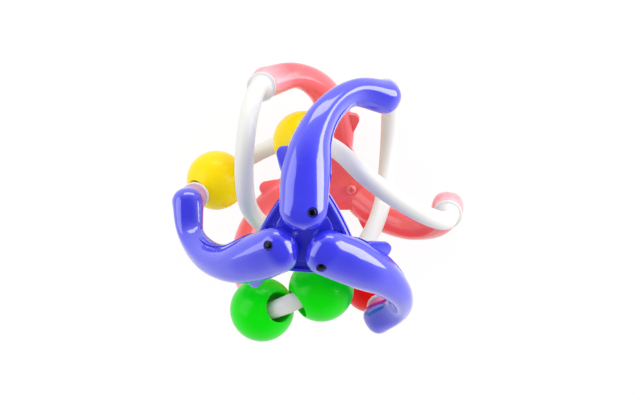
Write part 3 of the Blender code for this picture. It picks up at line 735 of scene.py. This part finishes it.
def eye_sockets():
    """Shallow cones with a well for the pupil, one to a head."""
    cutters = []
    height = EYE_CUTTER_HEIGHT
    for k in range(ARMS):
        cone = fresh(bpy.ops.mesh.primitive_cone_add, "socket", eye_frame(k), vertices=48,
                     radius1=(EYE_PUPIL_RADIUS + EYE_WELL) * MM,
                     radius2=(EYE_SOCKET_RADIUS + (EYE_SOCKET_RADIUS - EYE_PUPIL_RADIUS - EYE_WELL)
                              * (height - EYE_SOCKET_DEPTH) / EYE_SOCKET_DEPTH * EYE_CUTTER_SPREAD) * MM,
                     depth=height * MM, location=(0, 0, 0))
        lift = eye_frame(k).to_3x3() @ Vector((0, 0, height / 2 - EYE_SOCKET_DEPTH))
        cone.data.transform(Matrix.Translation(lift * MM))
        cutters.append(done(cone))
    return cutters


def outer_shell():
    """Upper halves of the three dolphins with the tray between their heads."""
    low = HUB_SPLIT_Z + GAP / 2
    shell = web_plate("outer", low - APART, HUB_RIM_Z, rim=(HUB_RIM_WIDTH, low + HUB_PLATE))
    pad = disc("pad", HUB_PAD_RADIUS, low + HUB_PLATE - HUB_PAD_ROOT, low + HUB_PLATE + HUB_PAD_HEIGHT,
               HUB_PAD_ROUNDING)
    combine(shell, [pad], "UNION")
    combine(shell, three(laid_up([upper_ring(s) for s in stations()], "back")), "UNION")
    combine(shell, eye_sockets(), "DIFFERENCE")
    return done(shell, 34)


def fin():
    """Small swept fin with rounded edges on the outer side of the curl."""
    outline = ((FIN_START, -1.5), (FIN_START + 2.2, 0.2), (FIN_START + 4.5, 1.5), (FIN_START + 6.8, 2.7),
               (FIN_END - 4.2, FIN_REACH - 0.35), (FIN_END - 3.2, FIN_REACH), (FIN_END - 2.2, FIN_REACH),
               (FIN_END - 1.2, FIN_REACH - 0.45), (FIN_END - 0.5, FIN_REACH - 1.3), (FIN_END, 0.8),
               (FIN_END, -1.5))
    piece = fresh(bpy.ops.mesh.primitive_circle_add, "fin", vertices=len(outline), fill_type="NGON")
    top, drop = SEAM_DROP + GAP, FIN_THICKNESS
    for corner, (s, reach) in zip(piece.data.vertices, outline):
        point, _, outward, flank = spine_frame(s)
        corner.co = (point - flank * (girth(s)[0] + SEAM_STEP + reach) - outward * top) * MM
    inwards = spine_frame((FIN_START + FIN_END) / 2)[2] * -drop * MM
    bpy.ops.object.mode_set(mode="EDIT")
    bpy.ops.mesh.select_all(action="SELECT")
    bpy.ops.mesh.extrude_region_move(TRANSFORM_OT_translate={"value": inwards})
    bpy.ops.mesh.select_all(action="SELECT")
    rounded(piece, FIN_ROUNDING, 2)
    return done(piece)


def inner_shell():
    """Lower halves of the dolphins, cut level under the hub, with their plate, its lip and the fins."""
    top = HUB_SPLIT_Z - GAP / 2
    shell = web_plate("inner", top - HUB_PLATE, top - HUB_SINK, SEAM_STEP)
    arm = laid_up([lower_ring(s) for s in stations(-SEAM_STEP, FLUSH_SINK, BELLY_TIP)], "belly")
    only(arm)
    bpy.ops.object.mode_set(mode="EDIT")
    bpy.ops.mesh.select_all(action="SELECT")
    bpy.ops.mesh.bisect(plane_co=(0, 0, top * MM), plane_no=(0, 0, 1), clear_outer=True, use_fill=True,
                        threshold=1e-7)
    done(arm)
    combine(shell, three(arm), "UNION")
    combine(shell, three(fin()), "UNION")
    lip = web_plate("lip", top - HUB_PLATE / 2, top + GAP - APART - LIP_CLEARANCE, -LIP_INSET)
    combine(shell, [lip], "UNION")
    return done(shell, 34)


def dolphins():
    for blue, part in ((outer_shell(), "outer_shell"), (inner_shell(), "inner_shell")):
        blue.name = f"blue_dolphins_{part}"
        coral = copy_of(blue, f"coral_dolphins_{part}", HALF_TURN)
        fitted(blue, f"blue_{part}", "blue_shell")
        fitted(coral, f"coral_{part}", "coral_shell")


# Eyes

def eyes():
    """A domed black pupil and the dark line round its socket."""
    pupil = fresh(bpy.ops.mesh.primitive_cylinder_add, "pupil", vertices=40, radius=EYE_PUPIL_RADIUS * MM,
                  depth=EYE_PUPIL_HEIGHT * MM)
    pupil.data.transform(Matrix.Translation((0, 0, -EYE_PUPIL_HEIGHT / 2 * MM)))
    pick(pupil, "EDGE", lambda p: p.z > -NEAR)
    rounded(pupil, EYE_PUPIL_ROUNDING, 4)
    pick(pupil, "FACE", lambda p: p.z > -NEAR)
    bpy.ops.mesh.inset(thickness=EYE_DOME_INSET * MM)
    bpy.ops.transform.translate(value=(0, 0, EYE_DOME_RISE * MM))
    done(pupil, 60)
    line = fresh(bpy.ops.mesh.primitive_torus_add, "line", major_segments=56, minor_segments=10,
                 major_radius=(EYE_SOCKET_RADIUS - EYE_LINE_INSET) * MM, minor_radius=EYE_LINE_RADIUS * MM)
    line.data.transform(Matrix.Translation((0, 0, -EYE_LINE_SINK * MM))
                        @ Matrix.Diagonal((1, 1, EYE_LINE_FLATTEN, 1)))
    only(pupil)
    line.select_set(True)
    bpy.ops.object.join()
    for k in range(ARMS):
        for side, turn in (("blue", Matrix()), ("coral", HALF_TURN)):
            eye = copy_of(pupil, f"{side}_dolphin_eye_{k + 1}", turn @ scaled(eye_frame(k)))
            fitted(eye, f"{side}_eye_{k + 1}", "eye")
    bpy.data.objects.remove(pupil)


# Tubes

def end_steps(start, turn):
    """Flange and spigot from the open ring at a tube's end."""
    heading = turn.to_3x3() @ Vector((TUBE_END[0][2], TUBE_END[1][2], TUBE_END[2][2]))
    here, radius = start, FLARE_RADIUS
    for reach, wide in ((0.0, FLANGE_RADIUS), (2 * FLANGE_HALF, FLANGE_RADIUS), (0.0, SPIGOT_RADIUS),
                        (SPIGOT_LENGTH - FLANGE_HALF, SPIGOT_RADIUS)):
        bpy.ops.mesh.extrude_region_move(TRANSFORM_OT_translate={"value": heading * reach * MM})
        here = here + heading * reach
        share = wide / radius
        bpy.ops.transform.resize(value=(share, share, share), center_override=here * MM)
        radius = wide
    bpy.ops.mesh.edge_face_add()


def bent_tube():
    """A ring spun along the arcs to each end, then stepped out and in for the flange and spigot."""
    _, _, _, _, point, heading, _ = ARCS[0]
    piece = fresh(bpy.ops.mesh.primitive_circle_add, "tube", facing(point, heading), vertices=TUBE_SIDES,
                  radius=TUBE_RADIUS * MM)
    for turn in (Matrix(), HALF_TURN):
        lean = turn.to_3x3()
        pick(piece, "VERT", lambda p: abs((p - point).dot(heading)) < NEAR
             and (p - point).length < TUBE_RADIUS + 1)
        for centre, axis, radius, angle, _, _, _ in ARCS:
            bpy.ops.mesh.spin(steps=ceil(radius * angle / SPIN_STEP), angle=angle,
                              center=(turn @ centre) * MM, axis=-(lean @ axis))
        finish_at = turn @ TUBE_END.translation
        ahead = lean @ Vector((TUBE_END[0][2], TUBE_END[1][2], TUBE_END[2][2]))
        bpy.ops.transform.translate(value=-ahead * FLANGE_HALF * MM)
        bpy.ops.transform.resize(value=(FLARE_RADIUS / TUBE_RADIUS,) * 3,
                                 center_override=(finish_at - ahead * FLANGE_HALF) * MM)
        end_steps(finish_at - ahead * FLANGE_HALF, turn)
    bpy.ops.object.mode_set(mode="OBJECT")
    widen_feet(piece)
    for turn in (Matrix(), HALF_TURN):
        home = (turn @ TUBE_END).inverted()
        for rim in (FLANGE_HALF, -FLANGE_HALF):
            pick(piece, "EDGE", lambda p: abs((home @ p).z - rim) < NEAR
                 and abs((home @ p).xy.length - FLANGE_RADIUS) < NEAR)
            rounded(piece, FLANGE_ROUNDING)
    return done(piece, 40)


def widen_feet(piece):
    """Flare the last stretch before each flange, ring by ring."""
    line = []
    for centre, axis, radius, angle, _, _, normal in ARCS:
        steps = ceil(radius * angle / SPIN_STEP)
        for i in range(steps):
            line.append(centre - (Quaternion(axis, angle * i / steps) @ normal) * radius)
    line.append(TUBE_END.translation)
    left = 0.0
    rings = []
    for here, after in zip(line[::-1][1:], line[::-1]):
        left += (after - here).length
        if left > FLARE_LENGTH:
            break
        rings.append((here, left))
    for turn in (Matrix(), HALF_TURN):
        for here, away in rings:
            share = 1 + (FLARE_RADIUS / TUBE_RADIUS - 1) * (1 - away / FLARE_LENGTH) ** FLARE_CURVE
            middle = turn @ here
            for corner in piece.data.vertices:
                out = corner.co / MM - middle
                if abs(out.length - TUBE_RADIUS) < NEAR:
                    corner.co = (middle + out * share) * MM


def tubes():
    tube = bent_tube()
    for k, name in enumerate(("yellow_bead_tube", "green_bead_tube", "red_bead_tube")):
        fitted(copy_of(tube, f"bent_{name}", tube_turn(k)), name, "tube")
    bpy.data.objects.remove(tube)


# Collars

def collars():
    """A rounded ring on a tail, hollowed to the tail's own shape."""
    high = SOCKET_DEPTH - FLANGE_HALF - GAP
    middle = Matrix.Translation((0, 0, FLANGE_HALF + GAP + high / 2))
    place = HALF_TURN @ TUBE_END
    ring = fresh(bpy.ops.mesh.primitive_cylinder_add, "ring", place @ middle, vertices=64,
                 radius=COLLAR_RADIUS * MM, depth=high * MM)
    home = place.inverted()
    pick(ring, "EDGE", lambda p: (home @ p).z < FLANGE_HALF + GAP + NEAR)
    rounded(ring, COLLAR_ROUNDING)
    done(ring)
    bore = done(fresh(bpy.ops.mesh.primitive_cylinder_add, "bore", place @ middle, vertices=48,
                      radius=COLLAR_BORE * MM, depth=(high + BORE_SPARE) * MM))
    combine(ring, [bore], "DIFFERENCE")
    tail = laid_up([full_ring(s, -GAP) for s in stations(-GAP, -GAP)], "tail")
    tail.data.transform(head_spin(1))
    combine(ring, [tail], "DIFFERENCE")
    done(ring)
    for k in range(ARMS):
        for side, turn in (("blue", tube_turn(k)), ("coral", HALF_TURN @ tube_turn(k))):
            collar = copy_of(ring, f"{side}_tail_ring_{k + 1}", turn)
            fitted(collar, f"{side}_tail_collar_{k + 1}", f"{side}_collar")
    bpy.data.objects.remove(ring)


# Beads

def bored_ball():
    """A ball whose poles are cut away, bridged through the middle, with a rounded mouth."""
    piece = fresh(bpy.ops.mesh.primitive_uv_sphere_add, "ball", segments=72, ring_count=48,
                  radius=BEAD_RADIUS * MM)
    mouth = sqrt(BEAD_RADIUS**2 - BEAD_BORE**2)
    bpy.ops.object.mode_set(mode="EDIT")
    for side in (1, -1):
        bpy.ops.mesh.select_all(action="SELECT")
        bpy.ops.mesh.bisect(plane_co=(0, 0, side * mouth * MM), plane_no=(0, 0, side), clear_outer=True,
                            threshold=1e-7)
    pick(piece, "EDGE", lambda p: abs(abs(p.z) - mouth) < NEAR)
    bpy.ops.mesh.bridge_edge_loops()
    for side in (1, -1):
        pick(piece, "EDGE", lambda p: p.z * side > mouth - NEAR)
        rounded(piece, BEAD_RIM, 5)
    return done(piece, 50)


def beads():
    ball = bored_ball()
    for colour, number, *where in BEADS:
        bead = copy_of(ball, f"{colour}_ball_{number}", scaled(bead_place(*where)))
        node = f"{colour}_bead_{number}"
        fitted(bead, node, f"{colour}_bead", node)
    bpy.data.objects.remove(ball)


# Screws keep their own shape

def screws():
    for side in ("blue", "coral"):
        for k in range(ARMS):
            node = frame["nodes"][f"{side}_shell_screw_{k + 1}"]
            for slot in node.material_slots:
                slot.material = FINISHES[f"{side}_screw"]


# Studio

def camera():
    data = bpy.data.cameras.new("camera")
    data.lens = LENS
    data.sensor_width = SENSOR
    data.clip_start = 0.01
    eye = bpy.data.objects.new("camera", data)
    bpy.context.collection.objects.link(eye)
    back = BACK.normalized()
    up = (UP - back * UP.dot(back)).normalized()
    right = up.cross(back)
    rows = [(right[i], up[i], back[i], CAMERA_PLACE[i]) for i in range(3)]
    eye.matrix_world = Matrix((*rows, (0, 0, 0, 1)))
    bpy.context.scene.camera = eye


def softbox(name, across, above, towards, distance, width, height, power):
    """A large soft lamp, placed as seen from the camera and turned to the ball."""
    data = bpy.data.lights.new(name, "AREA")
    data.shape = "RECTANGLE"
    data.size, data.size_y = width, height
    data.energy = power
    lamp = bpy.data.objects.new(name, data)
    bpy.context.collection.objects.link(lamp)
    way = (RIGHT * across + UP * above + BACK * towards).normalized()
    lamp.location = way * distance
    lamp.rotation_euler = way.to_track_quat("Z", "Y").to_euler()
    lamp.visible_camera = False


def seen_directly(nodes, links):
    """1 for rays that show the background: to the camera, in gloss and through glass."""
    path = nodes.new("ShaderNodeLightPath")
    total = None
    for ray in ("Is Camera Ray", "Is Glossy Ray", "Is Transmission Ray"):
        if total is None:
            total = path.outputs[ray]
            continue
        step = nodes.new("ShaderNodeMath")
        step.operation = "MAXIMUM"
        links.new(total, step.inputs[0])
        links.new(path.outputs[ray], step.inputs[1])
        total = step.outputs[0]
    return total


def high_dusk(nodes, links):
    """White all round, falling off overhead, where the studio is dark; the camera always sees white."""
    way = nodes.new("ShaderNodeTexCoord")
    parts = nodes.new("ShaderNodeSeparateXYZ")
    links.new(way.outputs["Generated"], parts.inputs[0])
    fall = nodes.new("ShaderNodeMapRange")
    for socket, value in SKY_FALL.items():
        fall.inputs[socket].default_value = value
    links.new(parts.outputs["Z"], fall.inputs["Value"])
    path = nodes.new("ShaderNodeLightPath")
    keep = nodes.new("ShaderNodeMath")
    keep.operation = "MAXIMUM"
    links.new(path.outputs["Is Camera Ray"], keep.inputs[0])
    links.new(fall.outputs["Result"], keep.inputs[1])
    return keep.outputs[0]


def world():
    sky = bpy.data.worlds.new("studio")
    bpy.context.scene.world = sky
    sky.use_nodes = True
    nodes, links = sky.node_tree.nodes, sky.node_tree.links
    plain = nodes["Background"]
    plain.inputs["Color"].default_value = (1.0, 1.0, 1.0, 1.0)
    plain.inputs["Strength"].default_value = SKY_LIGHT
    white = nodes.new("ShaderNodeBackground")
    white.inputs["Color"].default_value = (1.0, 1.0, 1.0, 1.0)
    links.new(high_dusk(nodes, links), white.inputs["Strength"])
    mix = nodes.new("ShaderNodeMixShader")
    links.new(seen_directly(nodes, links), mix.inputs[0])
    links.new(plain.outputs[0], mix.inputs[1])
    links.new(white.outputs[0], mix.inputs[2])
    links.new(mix.outputs[0], nodes["World Output"].inputs["Surface"])


def floor():
    low, _ = CAD_BOX
    ground = fresh(bpy.ops.mesh.primitive_plane_add, "floor", size=FLOOR_SIZE)
    ground.data.transform(Matrix.Translation((0, 0, low.z - FLOOR_CLEARANCE)))
    material = bpy.data.materials.new("pale_floor")
    material.use_nodes = True
    nodes, links = material.node_tree.nodes, material.node_tree.links
    matt = nodes["Principled BSDF"]
    matt.inputs["Base Color"].default_value = (FLOOR_GREY, FLOOR_GREY, FLOOR_GREY, 1.0)
    matt.inputs["Roughness"].default_value = FLOOR_ROUGHNESS
    matt.inputs["Specular IOR Level"].default_value = FLOOR_SPECULAR
    glow = nodes.new("ShaderNodeEmission")
    glow.inputs["Strength"].default_value = FLOOR_GLOW
    share = nodes.new("ShaderNodeMath")
    share.operation = "MULTIPLY"
    share.inputs[1].default_value = FLOOR_GLOW_SHARE
    links.new(seen_directly(nodes, links), share.inputs[0])
    mix = nodes.new("ShaderNodeMixShader")
    links.new(share.outputs[0], mix.inputs[0])
    links.new(matt.outputs[0], mix.inputs[1])
    links.new(glow.outputs[0], mix.inputs[2])
    links.new(mix.outputs[0], nodes["Material Output"].inputs["Surface"])
    ground.data.materials.append(material)


def studio():
    camera()
    world()
    floor()
    for name, setting in LAMPS.items():
        softbox(name, *setting)
    bpy.context.scene.view_settings.view_transform = "Standard"


studio()
dolphins()
eyes()
tubes()
collars()
beads()
screws()
